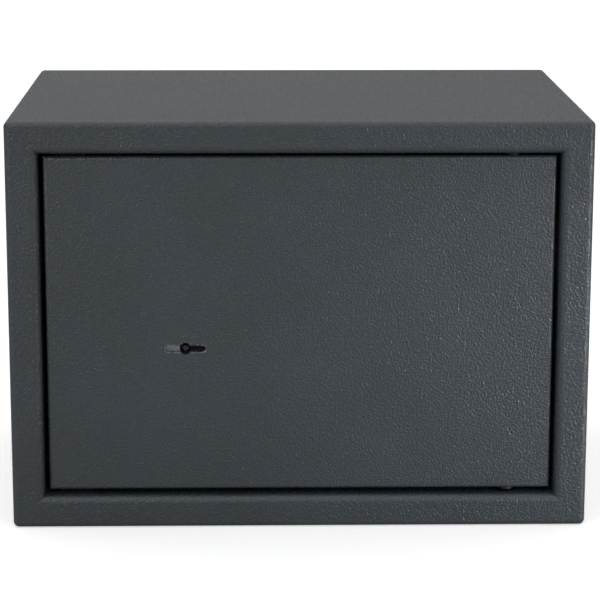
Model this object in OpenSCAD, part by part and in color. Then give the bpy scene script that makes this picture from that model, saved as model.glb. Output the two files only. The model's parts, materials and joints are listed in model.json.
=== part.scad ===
// Small key-locked steel safe: a folded body with a welded front frame, an inset
// door on two concealed pivots, and a double-bit lever lock that throws two bolts.
// Millimetres. X is to the right, Y runs from the door to the back, Z is up.
// The origin is the middle of the underside. The door is shut and unlocked: the
// bolts are drawn in and the levers are held at the height where their gates line up.

/* [Body] */
// Outer width of the body
body_w = 350; // [340:5:400]
// Outer height of the body
body_h = 250; // [245:5:300]
// Outer depth of the body
body_d = 250; // [200:5:350]
// Thickness of the body's steel sheet
wall = 2; // [1.5:0.25:2.5]
// Outer radius of the folds
fold_r = 3.5; // [3:0.5:4]
// Outer radius of the fold round the doorway
lip_r = 4.5; // [3.5:0.5:5]
// Width of the front frame's face
frame_w = 19.6; // [18:0.2:24]
// Thickness of the felt mat on the floor
mat_t = 3; // [2:0.5:5]

/* [Door] */
// Thickness of the door plate
door_t = 4; // [3:0.5:5]
// How far the door's face sits behind the frame's face
door_recess = 5; // [4:0.5:7]
// Gap beside the door on the lock side
gap_lock = 2.6; // [2:0.1:3.4]
// Gap beside the door on the hinge side
gap_hinge = 2.2; // [1.8:0.1:3.2]
// Gap above the door
gap_top = 1.8; // [1.8:0.1:3]
// Gap below the door
gap_bottom = 3; // [1.8:0.1:3.2]
// Radius of the door's front edges
door_edge_r = 2.5; // [0.5:0.25:3]
// Depth of the cover over the boltwork
cover_d = 36; // [35:1:42]

/* [Keyhole] */
// Distance from the door's lock-side edge to the key's axis
key_inset = 83.7; // [82:0.1:100]
// Height of the key's axis over the door's lower edge
key_rise = 88.4; // [80:0.2:95]
// Length of the keyhole's slot
key_slot_l = 24.4; // [22:0.2:25]
// Height of the keyhole's slot
key_slot_h = 4; // [3.5:0.1:4]
// Diameter of the round middle of the keyhole
key_hole_d = 7.2; // [6.5:0.1:8]

/* [Bolts] */
// Diameter of the locking bolts
bolt_d = 16; // [12:1:16]
// Distance between the two locking bolts
bolt_pitch = 100; // [90:5:110]
// Length of each bolt
bolt_l = 60; // [60:1:60]
// How far the bolts are thrown
bolt_throw = 15; // [12:1:16]

/* [Fixing holes] */
// Diameter of the fixing holes in the back and the floor
anchor_d = 10; // [8:0.5:12]
// Distance between each pair of fixing holes
anchor_pitch = 200; // [150:10:220]

/* [Hidden] */
$fn = 48;

PAINT = "#45494b";
PAINT_COVER = "#303335";
STEEL = "#9b9ea1";
ZINC = "#b9bbb8";
CHROME = "#d5d8da";
BRASS = "#b59b5c";
NYLON = "#1f1f20";
FELT = "#26282a";

SIDES = ["top", "bottom", "left", "right"];
LEVERS = [1:6];

NODES = concat(
    ["body_shell", "back_panel", "floor_mat", "door_stops", "hinge_bush_upper", "hinge_bush_lower"],
    [for (s = SIDES) str("frame_rail_", s)],
    ["door_plate", "hinge_bracket_upper", "hinge_bracket_lower", "hinge_pin_upper", "hinge_pin_lower"],
    ["hinge_washers", "bolt_guide", "door_cover", "cover_posts", "cover_screws"],
    ["lock_case", "lock_cover", "lock_cover_screws", "lock_studs", "lock_nuts"],
    ["key_post", "lever_post"],
    ["locking_bolt_upper", "locking_bolt_lower", "bolt_bar", "bolt_screws"],
    ["lock_tongue", "tongue_pin", "fence_pin"],
    [for (k = LEVERS) str("lever_", k)],
    [for (k = LEVERS) str("lever_spring_", k)]
);
node = "all";

// Body: where the faces are
front_y = -body_d / 2;
back_y = body_d / 2;
side_x = body_w / 2;
weld_y = front_y + 12;          // the frame's rails are welded to the shell here
lip_d = 22;                     // the frame's inner return, measured from its face
lip_end_y = front_y + lip_d;
open_x = side_x - frame_w;      // the doorway is open_x to each side
open_top = body_h - frame_w;
mid_z = body_h / 2;

// Door: its edges and its two faces
door_x0 = -open_x + gap_lock;
door_x1 = open_x - gap_hinge;
door_z0 = frame_w + gap_bottom;
door_z1 = open_top - gap_top;
door_front = front_y + door_recess;
door_rear = door_front + door_t;

// Hinge: a vertical axis behind the plate, far enough in for its edge to swing clear
hinge_x = door_x1 - 26;
hinge_y = door_rear + 5;
pin_d = 6;
pin_head_d = 9.6;
pin_head_t = 2.5;
bush_d = 9;
bush_bore = pin_d + 0.1;
bush_flange_d = 14;
bush_flange_t = 1;
washer_t = 1.8;
bracket_t = 3;
play = 0.05;                    // axial play above and below each washer

// Door stops: two joggled tabs on the frame's lip at the lock side
stop_length = 20;
stop_height = 10;

// Lock: u runs right, v into the safe and w up, from the key's axis on the door's rear face
key_x = door_x0 + key_inset;
key_z = door_z0 + key_rise;
case_u = [-18.5, 40.5];
case_w = [-25, 37];
case_v = 16;                    // depth of the case, without its cover
case_t = 2;
ear = 10;                       // the case's base sticks out this far above and below
pillar_r = 3.5;
pillar_in = 5;                  // from the case's outside to a pillar's middle
screw_inset = 8;                // from the case's side to a fixing stud
key_post_d = 3.3;

// Levers: a stack on one post, each with its own window
pivot_u = 33;
pivot_w = 19;
lever_post_d = 4;
lever_t = 1.15;
lever_step = 1.35;
lever_v = 3.6;                  // face of the first lever
lever_ring_r = 15.5;
lever_window_r = 12.6;
lever_drop = 4.8;                // degrees; 2.3 mm at the fence with the bolts thrown
key_cuts = [11, 9, 10.4, 8.6, 9.8, 10.7]; // bit height for each lever
bit_span = 19;                  // each bit and the one opposite it add up to this
fence_d = 4;
fence_u = 20;                   // the fence with the bolts drawn in
spring_t = 0.4;

// Boltwork
bolt_v = lip_end_y + 0.6 + bolt_d / 2 - door_rear; // the bolts pass close behind the frame's lip
bolt_tip_x = door_x0 + 0.3;
bar_x = bolt_tip_x + bolt_l;
bar_t = 4;
tongue_v = [12, 15];
tongue_w = 16;                  // the tongue's middle, above the key's axis
guide_x = [door_x0 + 7, door_x0 + 35];
guide_t = 2.5;

// Cover over the boltwork
cover_x = [door_x0 + 4.3, hinge_x - 23.2];
cover_z = [33, body_h - 33];
cover_t = 1.2;
post_x = [cover_x[0] + 12, cover_x[1] - 12];
post_z = [cover_z[0] + 12, cover_z[1] - 12];
post_d = 8;
post_screw_d = 4;

// --- Shapes that repeat -------------------------------------------------------

module block(low, high) {
    translate(low) cube(high - low);
}

module rod_x(x0, x1, d) {
    translate([x0, 0, 0]) rotate([0, 90, 0]) cylinder(h = x1 - x0, d = d);
}

module rod_y(y0, y1, d) {
    translate([0, y1, 0]) rotate([90, 0, 0]) cylinder(h = y1 - y0, d = d);
}

module rod_z(z0, z1, d) {
    translate([0, 0, z0]) cylinder(h = z1 - z0, d = d);
}

// An outline drawn in X and Z, made solid from y0 to y1
module slab_y(y0, y1) {
    translate([0, y1, 0]) rotate([90, 0, 0]) linear_extrude(y1 - y0) children();
}

module round_rect(w, h, r) {
    square([w - 2 * r, h], center = true);
    square([w, h - 2 * r], center = true);
    for (x = [-1, 1], y = [-1, 1])
        translate([x * (w / 2 - r), y * (h / 2 - r)]) circle(r);
}

// A quarter of a fold of outer radius r, from the face at x = 0 to the face at y = 0
module fold_quarter(r) {
    difference() {
        intersection() {
            translate([r, r]) circle(r);
            square(r);
        }
        translate([r, r]) circle(r - wall);
    }
}

// A round hole with a slot to the right of it, and to the left as well if asked
module keyhole_outline(both_sides) {
    straight = (key_slot_l - key_slot_h) / 2;
    circle(d = key_hole_d);
    for (turn = both_sides ? [0, 180] : [0]) rotate(turn) {
        translate([0, -key_slot_h / 2]) square([straight, key_slot_h]);
        translate([straight, 0]) circle(d = key_slot_h);
    }
}

// A domed screw pointing to -Y, with its seat at y = 0 and a cross recess
module screw_y(d, length, head_d, head_h) {
    difference() {
        union() {
            rod_y(-length, 0.01, d);
            rod_y(0, head_h * 0.6, head_d);
            translate([0, head_h * 0.6, 0]) rotate([-90, 0, 0])
                cylinder(h = head_h * 0.4, d1 = head_d, d2 = head_d * 0.7);
        }
        for (a = [0, 90]) translate([0, head_h, 0]) rotate([0, a, 0])
            cube([head_d * 0.5, head_h, head_d * 0.14], center = true);
    }
}

module at_lock() {
    translate([key_x, door_rear, key_z]) children();
}

module at_hinge() {
    translate([hinge_x, hinge_y, 0]) children();
}

// Puts what is drawn for the floor side of the doorway at the upper side too
module upper(is_upper) {
    if (is_upper) translate([0, 0, body_h]) mirror([0, 0, 1]) children();
    else children();
}

// --- Body ---------------------------------------------------------------------

module anchor_pair() {
    for (x = [-1, 1]) translate([x * anchor_pitch / 2, 0, 0]) children();
}

module body_shell() {
    color(PAINT) difference() {
        translate([0, 0, mid_z]) slab_y(weld_y, back_y) difference() {
            round_rect(body_w, body_h, fold_r);
            round_rect(body_w - 2 * wall, body_h - 2 * wall, fold_r - wall);
        }
        anchor_pair() rod_z(-1, wall + 1, anchor_d);
    }
}

module back_panel() {
    color(PAINT) difference() {
        translate([0, 0, mid_z]) slab_y(back_y - wall, back_y)
            round_rect(body_w - 2 * wall, body_h - 2 * wall, fold_r - wall);
        translate([0, 0, mid_z]) anchor_pair() rod_y(back_y - wall - 1, back_y + 1, anchor_d);
    }
}

// Section of a frame rail: x runs in from the outer face, y back from the frame's face
module rail_section() {
    translate([fold_r, 0]) square([frame_w - fold_r - lip_r, wall]);
    translate([0, fold_r]) square([wall, weld_y - front_y - fold_r]);
    translate([frame_w - wall, lip_r]) square([wall, lip_d - lip_r]);
    fold_quarter(fold_r);
    translate([frame_w, 0]) mirror([1, 0]) fold_quarter(lip_r);
}

// A rail along X, below the middle of the body, with its ends cut to 45 degrees
module rail(span, reach) {
    translate([0, front_y, -reach]) intersection() {
        rotate([0, -90, 0]) linear_extrude(span, center = true) rail_section();
        slab_y(-1, lip_d + 1) polygon([
            [-span / 2, 0], [span / 2, 0],
            [span / 2 - frame_w, frame_w], [frame_w - span / 2, frame_w]
        ]);
    }
}

module frame_rail(side) {
    level = side == "top" || side == "bottom";
    turn = side == "bottom" ? 0 : side == "left" ? 90 : side == "top" ? 180 : -90;
    color(PAINT) difference() {
        intersection() {
            translate([0, 0, mid_z]) rotate([0, turn, 0])
                rail(level ? body_w : body_h, (level ? body_h : body_w) / 2);
            translate([0, 0, mid_z]) slab_y(front_y - 1, lip_end_y + 1)
                round_rect(body_w, body_h, fold_r);
        }
        if (level) upper(side == "top") at_hinge() rod_z(frame_w - wall - 1, frame_w + 1, bush_d);
    }
}

// The mat has a hole over each fixing hole
module floor_mat() {
    color(FELT) difference() {
        block([-side_x + wall + 2, lip_end_y + 2, wall], [side_x - wall - 2, back_y - wall - 2, wall + mat_t]);
        anchor_pair() rod_z(0, 20, anchor_d + 14);
    }
}

// Angles on the lower and upper lips that the shut door rests against
module door_stops() {
    stop_x = door_x0 + 5;
    stop_y = door_rear + 0.2;
    // Side view: a foot on the lip, then a step forward that keeps the tab behind the door's edge
    foot_y = stop_y + 12;
    step_y = stop_y + 6;
    step_z = frame_w + gap_bottom + 0.8;
    color(PAINT) for (top = [false, true]) upper(top) {
        block([stop_x, step_y, frame_w], [stop_x + stop_length, foot_y, frame_w + wall]);
        block([stop_x, step_y, frame_w], [stop_x + stop_length, step_y + wall, step_z + wall]);
        block([stop_x, stop_y, step_z], [stop_x + stop_length, step_y + wall, step_z + wall]);
        block([stop_x, stop_y, step_z], [stop_x + stop_length, stop_y + wall, frame_w + stop_height]);
    }
}

module hinge_bush(top) {
    color(BRASS) upper(top) at_hinge() difference() {
        union() {
            rod_z(frame_w, frame_w + bush_flange_t, bush_flange_d);
            rod_z(frame_w - wall - 1.5, frame_w + 0.01, bush_d);
        }
        rod_z(0, frame_w + 10, bush_bore);
    }
}

// --- Door ---------------------------------------------------------------------

// Half of the door's section across one direction: along x from its middle, y back from its face
module door_half_section(half) {
    square([half - door_edge_r, door_t]);
    translate([0, door_edge_r]) square([half, door_t - door_edge_r]);
    translate([half - door_edge_r, door_edge_r]) circle(door_edge_r);
}

// A bar with the door's section, long in Z and centred
module door_bar(width, length) {
    linear_extrude(length, center = true) {
        door_half_section(width / 2);
        mirror([1, 0]) door_half_section(width / 2);
    }
}

module door_plate() {
    width = door_x1 - door_x0;
    height = door_z1 - door_z0;
    color(PAINT) difference() {
        translate([(door_x0 + door_x1) / 2, door_front, (door_z0 + door_z1) / 2]) intersection() {
            door_bar(width, height + 2);
            rotate([0, 90, 0]) door_bar(height, width + 2);
        }
        translate([key_x, 0, key_z]) slab_y(door_front - 1, door_rear + 1) keyhole_outline(true);
    }
}

washer_z = frame_w + bush_flange_t + play;
bracket_z = washer_z + washer_t + play;

module hinge_bracket(top) {
    color(STEEL) upper(top) difference() {
        union() {
            block([hinge_x - 22, door_rear, bracket_z], [hinge_x + 8, hinge_y + 8, bracket_z + bracket_t]);
            block([hinge_x - 22, door_rear, bracket_z], [hinge_x - 7, door_rear + bracket_t, bracket_z + 32]);
        }
        at_hinge() rod_z(0, bracket_z + 10, pin_d);
    }
}

module hinge_pin(top) {
    color(ZINC) upper(top) at_hinge() {
        rod_z(frame_w - wall - 1.5, bracket_z + bracket_t + 0.01, pin_d);
        rod_z(bracket_z + bracket_t, bracket_z + bracket_t + pin_head_t, pin_head_d);
    }
}

module hinge_washers() {
    color(NYLON) for (top = [false, true]) upper(top) at_hinge() difference() {
        rod_z(washer_z, washer_z + washer_t, pin_head_d);
        rod_z(0, body_h / 2, pin_d + 0.4);
    }
}

module at_bolts() {
    for (s = [-1, 1]) translate([0, door_rear + bolt_v, mid_z + s * bolt_pitch / 2]) children();
}

// A channel with two walls that the bolts slide through
module bolt_guide() {
    half = bolt_pitch / 2 + 15;
    top_v = bolt_v + bolt_d / 2 + 4;
    color(ZINC) difference() {
        union() {
            block([guide_x[0], door_rear, mid_z - half], [guide_x[1], door_rear + guide_t, mid_z + half]);
            for (x = [guide_x[0], guide_x[1] - guide_t])
                block([x, door_rear, mid_z - half], [x + guide_t, door_rear + top_v, mid_z + half]);
        }
        at_bolts() rod_x(guide_x[0] - 1, guide_x[1] + 1, bolt_d + 0.4);
    }
}

module at_cover_posts() {
    for (x = post_x, z = post_z) translate([x, door_rear, z]) children();
}

module door_cover() {
    color(PAINT_COVER) difference() {
        block([cover_x[0], door_rear, cover_z[0]], [cover_x[1], door_rear + cover_d, cover_z[1]]);
        block([cover_x[0] + cover_t, door_rear - 1, cover_z[0] + cover_t],
              [cover_x[1] - cover_t, door_rear + cover_d - cover_t, cover_z[1] - cover_t]);
        at_bolts() rod_x(cover_x[0] - 1, cover_x[0] + cover_t + 1, bolt_d + 2);
        at_cover_posts() rod_y(cover_d - cover_t - 1, cover_d + 1, post_screw_d + 0.5);
    }
}

module cover_posts() {
    color(ZINC) at_cover_posts() difference() {
        rod_y(0, cover_d - cover_t, post_d);
        rod_y(cover_d - cover_t - 12, cover_d, post_screw_d);
    }
}

module cover_screws() {
    color(ZINC) at_cover_posts() translate([0, cover_d, 0]) screw_y(post_screw_d, 10, 8, 2.6);
}

// --- Lock case ----------------------------------------------------------------

module at_case_corners() {
    for (u = [case_u[0] + pillar_in, case_u[1] - pillar_in], w = [case_w[0] + pillar_in, case_w[1] - pillar_in])
        translate([u, 0, w]) children();
}

module at_lock_studs() {
    for (u = [case_u[0] + screw_inset, case_u[1] - screw_inset], w = [case_w[0] - ear / 2, case_w[1] + ear / 2])
        at_lock() translate([u, 0, w]) children();
}

// Where the tongue slides out of the case
module tongue_slot(extra) {
    block([case_u[0] - 1, tongue_v[0] - extra, tongue_w - 9 - extra],
          [case_u[0] + case_t + 1, tongue_v[1] + extra, tongue_w + 9 + extra]);
}

module lock_case() {
    color(ZINC) difference() {
        at_lock() difference() {
            union() {
                difference() {
                    block([case_u[0], 0, case_w[0]], [case_u[1], case_v, case_w[1]]);
                    block([case_u[0] + case_t, case_t, case_w[0] + case_t],
                          [case_u[1] - case_t, case_v + 1, case_w[1] - case_t]);
                }
                block([case_u[0], 0, case_w[0] - ear], [case_u[1], case_t, case_w[1] + ear]);
                at_case_corners() rod_y(0, case_v, 2 * pillar_r);
            }
            slab_y(-1, case_t + 1) keyhole_outline(false);
            tongue_slot(0.3);
            at_case_corners() rod_y(case_v - 8, case_v + 1, 3);
            translate([pivot_u, 0, pivot_w]) rod_y(-1, case_t + 1, lever_post_d);
        }
        at_lock_studs() rod_y(-1, case_t + 1, 5.4);
    }
}

module lock_cover() {
    color(ZINC) at_lock() difference() {
        block([case_u[0], case_v, case_w[0]], [case_u[1], case_v + case_t, case_w[1]]);
        at_case_corners() rod_y(case_v - 1, case_v + case_t + 1, 3.4);
        translate([pivot_u, 0, pivot_w]) rod_y(case_v - 1, case_v + case_t + 1, lever_post_d);
        rod_y(case_v - 1, case_v + case_t + 1, key_post_d);
    }
}

module lock_cover_screws() {
    color(STEEL) at_lock() at_case_corners() translate([0, case_v + case_t, 0]) screw_y(3, 8, 5.6, 1.8);
}

module lock_studs() {
    color(ZINC) at_lock_studs() rod_y(0, 9, 5);
}

module lock_nuts() {
    color(ZINC) at_lock_studs() difference() {
        translate([0, case_t + 4, 0]) rotate([90, 0, 0]) cylinder(h = 4, r = 8 / sqrt(3), $fn = 6);
        rod_y(case_t - 1, case_t + 5, 5);
    }
}

// The pin that a hollow key slides over, riveted in the case's cover
module key_post() {
    color(STEEL) at_lock() rod_y(-door_t / 2, case_v + case_t, key_post_d);
}

module lever_post() {
    color(STEEL) at_lock() translate([pivot_u, 0, pivot_w]) rod_y(0, case_v + case_t, lever_post_d);
}

// --- Levers -------------------------------------------------------------------

// How far the fence's pocket reaches above the gate: the levers drop until it lands on the fence
function pocket_rise(u) = fence_d / 2 + (pivot_u - u) * tan(lever_drop + 0.2) + 0.4;

module lever_outline(cut) {
    difference() {
        union() {
            circle(lever_ring_r);
            translate([-4, 8]) square([pivot_u + 4, pivot_w]);
            translate([pivot_u, pivot_w]) circle(5);
        }
        intersection() {
            circle(lever_window_r);
            translate([-lever_window_r, cut - bit_span - 0.3]) square([2 * lever_window_r, bit_span + 0.4]);
        }
        translate([pivot_u, pivot_w]) circle(d = lever_post_d + 0.1);
        translate([fence_u - bolt_throw, pivot_w - fence_d / 2 - 0.25]) square([bolt_throw, fence_d + 0.5]);
        for (u = [fence_u, fence_u - bolt_throw])
            translate([u - fence_d / 2 - 0.8, pivot_w - fence_d / 2 - 0.4])
                square([fence_d + 1.6, fence_d / 2 + 0.4 + pocket_rise(u)]);
    }
}

module lever(k) {
    v = lever_v + (k - 1) * lever_step;
    color(BRASS) at_lock() slab_y(v, v + lever_t) lever_outline(key_cuts[k - 1]);
}

// A flat spring: its foot lies on the lever's upper edge and its tip reaches the roof of the case
module lever_spring(k) {
    v = lever_v + (k - 1) * lever_step + lever_t / 2;
    seat = pivot_w + 8;
    tip = case_w[1] - case_t - 0.3;
    color(STEEL) at_lock() slab_y(v - 0.4, v + 0.4) polygon([
        [pivot_u, seat], [pivot_u, seat + spring_t], [pivot_u - 4, seat + spring_t],
        [3, tip], [3, tip - spring_t], [pivot_u - 4, seat]
    ]);
}

// --- Boltwork -----------------------------------------------------------------

module locking_bolt(s) {
    color(CHROME) translate([0, door_rear + bolt_v, mid_z + s * bolt_pitch / 2]) difference() {
        union() {
            rod_x(bolt_tip_x + 1, bar_x, bolt_d);
            translate([bolt_tip_x, 0, 0]) rotate([0, 90, 0])
                cylinder(h = 1, d1 = bolt_d - 2, d2 = bolt_d);
        }
        rod_x(bar_x - 12, bar_x + 1, 6);
    }
}

module bolt_bar() {
    half = bolt_pitch / 2 + 13;
    color(ZINC) difference() {
        block([bar_x, door_rear + 9, mid_z - half], [bar_x + bar_t, door_rear + bolt_v + 10, mid_z + half]);
        at_bolts() rod_x(bar_x - 1, bar_x + bar_t + 1, 6.5);
        at_lock() block([bar_x - key_x - 1, tongue_v[0], tongue_w - 6],
                        [bar_x - key_x + bar_t + 1, tongue_v[1], tongue_w + 6]);
    }
}

module bolt_screws() {
    color(STEEL) at_bolts() {
        rod_x(bar_x - 10, bar_x + bar_t + 0.01, 6);
        translate([bar_x + bar_t, 0, 0]) rotate([0, 90, 0]) cylinder(h = 3, r = 10 / sqrt(3), $fn = 6);
    }
}

// The lock's own bolt: a plate with a notch that the key's bit pushes
module lock_tongue() {
    bar_u = bar_x - key_x;
    color(STEEL) at_lock() difference() {
        union() {
            block([bar_u + bar_t, tongue_v[0], tongue_w - 9], [28, tongue_v[1], tongue_w + 9]);
            block([bar_u - 6, tongue_v[0], tongue_w - 6], [bar_u + bar_t + 0.01, tongue_v[1], tongue_w + 6]);
        }
        block([6, tongue_v[0] - 1, tongue_w - 10], [13, tongue_v[1] + 1, tongue_w - 3.5]);
        translate([fence_u, 0, pivot_w]) rod_y(0, tongue_v[1] + 1, fence_d);
        translate([bar_u - 2, 0, tongue_w]) rod_y(0, tongue_v[1] + 1, 4);
    }
}

// Holds the tongue in the bar's slot
module tongue_pin() {
    color(STEEL) at_lock() translate([bar_x - key_x - 2, 0, tongue_w])
        rod_y(tongue_v[0] - 4, tongue_v[1] + 4, 4);
}

// Riveted in the tongue; it runs through the levers' gates
module fence_pin() {
    color(STEEL) at_lock() translate([fence_u, 0, pivot_w]) rod_y(lever_v + 0.3, tongue_v[1], fence_d);
}

// --- Nodes --------------------------------------------------------------------

function wanted(name) = node == "all" || node == name;

if (wanted("body_shell")) body_shell();
if (wanted("back_panel")) back_panel();
if (wanted("floor_mat")) floor_mat();
if (wanted("door_stops")) door_stops();
if (wanted("hinge_bush_upper")) hinge_bush(true);
if (wanted("hinge_bush_lower")) hinge_bush(false);
for (s = SIDES) if (wanted(str("frame_rail_", s))) frame_rail(s);
if (wanted("door_plate")) door_plate();
if (wanted("hinge_bracket_upper")) hinge_bracket(true);
if (wanted("hinge_bracket_lower")) hinge_bracket(false);
if (wanted("hinge_pin_upper")) hinge_pin(true);
if (wanted("hinge_pin_lower")) hinge_pin(false);
if (wanted("hinge_washers")) hinge_washers();
if (wanted("bolt_guide")) bolt_guide();
if (wanted("door_cover")) door_cover();
if (wanted("cover_posts")) cover_posts();
if (wanted("cover_screws")) cover_screws();
if (wanted("lock_case")) lock_case();
if (wanted("lock_cover")) lock_cover();
if (wanted("lock_cover_screws")) lock_cover_screws();
if (wanted("lock_studs")) lock_studs();
if (wanted("lock_nuts")) lock_nuts();
if (wanted("key_post")) key_post();
if (wanted("lever_post")) lever_post();
if (wanted("locking_bolt_upper")) locking_bolt(1);
if (wanted("locking_bolt_lower")) locking_bolt(-1);
if (wanted("bolt_bar")) bolt_bar();
if (wanted("bolt_screws")) bolt_screws();
if (wanted("lock_tongue")) lock_tongue();
if (wanted("tongue_pin")) tongue_pin();
if (wanted("fence_pin")) fence_pin();
for (k = LEVERS) if (wanted(str("lever_", k))) lever(k);
for (k = LEVERS) if (wanted(str("lever_spring_", k))) lever_spring(k);
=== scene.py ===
import json
import math

import bmesh
import bpy
from mathutils import Matrix, Vector, noise


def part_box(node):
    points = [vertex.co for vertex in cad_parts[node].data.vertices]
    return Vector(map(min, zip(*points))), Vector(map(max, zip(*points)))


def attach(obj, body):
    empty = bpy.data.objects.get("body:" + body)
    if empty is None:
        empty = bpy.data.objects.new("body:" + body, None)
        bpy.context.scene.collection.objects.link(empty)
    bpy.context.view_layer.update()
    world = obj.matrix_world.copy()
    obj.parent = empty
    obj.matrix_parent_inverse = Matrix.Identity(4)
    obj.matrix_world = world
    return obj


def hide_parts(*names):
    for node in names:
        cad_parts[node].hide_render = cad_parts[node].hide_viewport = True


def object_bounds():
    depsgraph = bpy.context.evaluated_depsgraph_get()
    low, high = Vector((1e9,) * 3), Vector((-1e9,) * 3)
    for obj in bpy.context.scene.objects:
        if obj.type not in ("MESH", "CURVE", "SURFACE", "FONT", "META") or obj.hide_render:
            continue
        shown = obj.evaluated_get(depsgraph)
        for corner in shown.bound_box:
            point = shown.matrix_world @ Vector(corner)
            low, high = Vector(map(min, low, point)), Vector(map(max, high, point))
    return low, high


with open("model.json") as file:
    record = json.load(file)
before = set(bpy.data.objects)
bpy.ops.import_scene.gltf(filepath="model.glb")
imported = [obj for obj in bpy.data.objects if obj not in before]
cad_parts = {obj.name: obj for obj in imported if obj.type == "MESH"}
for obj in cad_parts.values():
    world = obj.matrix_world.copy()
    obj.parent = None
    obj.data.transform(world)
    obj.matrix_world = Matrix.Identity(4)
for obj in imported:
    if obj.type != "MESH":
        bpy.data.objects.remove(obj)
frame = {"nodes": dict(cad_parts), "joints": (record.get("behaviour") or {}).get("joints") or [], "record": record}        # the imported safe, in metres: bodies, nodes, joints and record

mm = 0.001
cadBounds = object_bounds()  # the size that the looks have to keep


# An sRGB colour as linear light
def linear(hexColour):
    channels = [int(hexColour[i:i + 2], 16) / 255 for i in (1, 3, 5)]
    return [c / 12.92 if c <= 0.04045 else ((c + 0.055) / 1.055) ** 2.4 for c in channels] + [1.0]


def socketOf(sockets, key):
    if isinstance(key, int):
        return sockets[key]
    return next(s for s in sockets if s.name == key and s.enabled)


# A key is the name of a property of the node, or else of one of its inputs
def addNode(tree, kind, settings={}, links={}):
    node = tree.nodes.new(kind)
    for key, value in settings.items():
        if isinstance(key, str) and key in node.bl_rna.properties:
            setattr(node, key, value)
    for key, value in settings.items():
        if not (isinstance(key, str) and key in node.bl_rna.properties):
            socketOf(node.inputs, key).default_value = value
    for key, source in links.items():
        tree.links.new(source, socketOf(node.inputs, key))
    return node


def meshPiece(name, verts, faces, edges=()):
    mesh = bpy.data.meshes.new(name)
    mesh.from_pydata(verts, edges, faces)
    piece = bpy.data.objects.new(name, mesh)
    bpy.context.scene.collection.objects.link(piece)
    return piece


# Turns the normals outward and writes the mesh back to its piece
def finishMesh(bm, piece):
    bmesh.ops.recalc_face_normals(bm, faces=bm.faces)
    bm.to_mesh(piece.data)
    bm.free()


def tidyMesh(piece, merge=1e-6, flatten=False):
    bm = bmesh.new()
    bm.from_mesh(piece.data)
    bmesh.ops.remove_doubles(bm, verts=bm.verts, dist=merge)
    if flatten:  # CAD triangles back to whole flat faces
        bmesh.ops.dissolve_limit(bm, angle_limit=math.radians(0.4), verts=bm.verts, edges=bm.edges)
    finishMesh(bm, piece)


# Turns the modifiers into plain mesh
def bake(piece):
    evaluated = piece.evaluated_get(bpy.context.evaluated_depsgraph_get())
    plain = bpy.data.meshes.new_from_object(evaluated)
    old = piece.data
    piece.modifiers.clear()
    if piece.type == "MESH":
        piece.data = plain
        bpy.data.meshes.remove(old)
        return piece
    made = bpy.data.objects.new(piece.name + "Mesh", plain)
    bpy.context.scene.collection.objects.link(made)
    name = piece.name
    bpy.data.objects.remove(piece)
    made.name = name
    return made


def smooth(piece, angle=32, weighted=True):
    piece.data.polygons.foreach_set("use_smooth", [True] * len(piece.data.polygons))
    piece.data.set_sharp_from_angle(angle=math.radians(angle))
    if weighted:
        weighting = piece.modifiers.new("flatFaces", "WEIGHTED_NORMAL")
        weighting.keep_sharp = True
        weighting.weight = 80
        bake(piece)
    return piece


def roundEdges(piece, size, steps=2, angle=40):
    bevel = piece.modifiers.new("edge", "BEVEL")
    bevel.width = size
    bevel.segments = steps
    bevel.limit_method = "ANGLE"
    bevel.angle_limit = math.radians(angle)
    bevel.use_clamp_overlap = True
    bevel.miter_outer = "MITER_ARC"
    return bake(piece)


def cut(piece, cutters):
    for cutter in cutters:
        boolean = piece.modifiers.new("cut", "BOOLEAN")
        boolean.operation = "DIFFERENCE"
        boolean.solver = "EXACT"
        boolean.object = cutter
    bake(piece)
    for cutter in cutters:
        bpy.data.objects.remove(cutter)
    return piece


# A merged copy of CAD solids, with its edges broken
def fromNode(name, node, edge=0.3 * mm):
    source = frame["nodes"][node]
    piece = bpy.data.objects.new(name, source.data.copy())
    piece.data.transform(source.matrix_world)
    bpy.context.scene.collection.objects.link(piece)
    piece.data.materials.clear()
    tidyMesh(piece, merge=1e-5, flatten=True)
    if edge:
        roundEdges(piece, edge)
    return smooth(piece)


# A turned piece: profile is (place along the axis, radius), and the axis runs through centre
def turned(name, axis, centre, profile, steps=64):
    first, second = {"X": ((0, 1, 0), (0, 0, 1)), "Y": ((0, 0, 1), (1, 0, 0)), "Z": ((1, 0, 0), (0, 1, 0))}[axis]
    first, second = Vector(first), Vector(second)
    along = Vector([float(axis == a) for a in "XYZ"])
    base = Vector([0.0 if axis == a else c for a, c in zip("XYZ", centre)])
    verts, faces = [], []
    for place, radius in profile:
        for i in range(steps):
            a = math.tau * i / steps
            verts.append(base + along * place + (first * math.cos(a) + second * math.sin(a)) * radius)
    for k in range(len(profile) - 1):
        for i in range(steps):
            j = (i + 1) % steps
            faces.append((k * steps + i, k * steps + j, (k + 1) * steps + j, (k + 1) * steps + i))
    if profile[0] != profile[-1]:   # a ring's profile comes back to its start, so it has no ends to close
        faces.append(tuple(reversed(range(steps))))
        faces.append(tuple(range((len(profile) - 1) * steps, len(profile) * steps)))
    piece = meshPiece(name, verts, faces)
    tidyMesh(piece)
    return smooth(piece)


# A round cutter between two places along the axis
def drill(axis, centre, start, end, radius):
    return turned("drill", axis, centre, [(start, radius), (end, radius)])


# Corner points of a rounded rectangle, one list for each corner, anticlockwise from the lower right
def roundedCorners(halfWidth, halfHeight, radius, steps):
    corners = []
    for k, (sx, sz) in enumerate(((1, -1), (1, 1), (-1, 1), (-1, -1))):
        middle = (sx * (halfWidth - radius), sz * (halfHeight - radius))
        turn = -math.pi / 2 + k * math.pi / 2
        turns = [turn + math.pi / 2 * i / steps for i in range(steps + 1)]
        corners.append([(middle[0] + radius * math.cos(a), middle[1] + radius * math.sin(a)) for a in turns])
    return corners


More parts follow.
